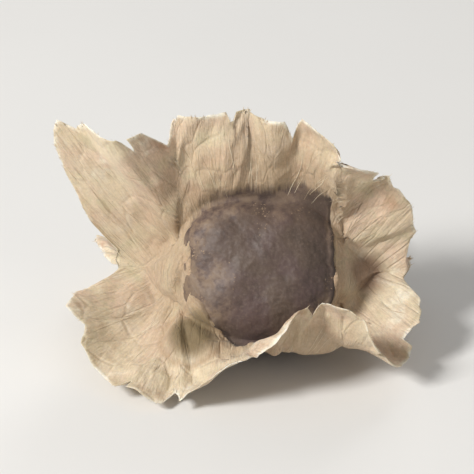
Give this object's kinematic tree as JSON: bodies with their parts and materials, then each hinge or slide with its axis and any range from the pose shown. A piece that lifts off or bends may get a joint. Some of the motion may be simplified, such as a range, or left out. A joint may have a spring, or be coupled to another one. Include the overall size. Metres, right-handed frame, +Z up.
{
  "type": "moringa seed",
  "caption": "Winged moringa seed lying at rest: a blunt three-angled brown hull with papery cream wings that fan out from its angles, torn and pleated at the edges.",
  "frame": {"origin": "on the surface that the seed rests on, under the middle of its box", "axes": "+X along the seed's axis from its longer winged end to the shorter one, +Z up through the standing wing, -Y towards the face of the hull that the picture shows"},
  "size_m": [0.0242, 0.0214, 0.0165],
  "materials": {
    "papery_wing": "dry matte papery tissue, cream to tan, faintly translucent, with fine fibres",
    "hull": "matte grey-brown seed coat with a slight purple cast and fine wrinkles"
  },
  "bodies": {
    "root": {"moringa_seed": "papery_wing"}
  },
  "joints": []
}
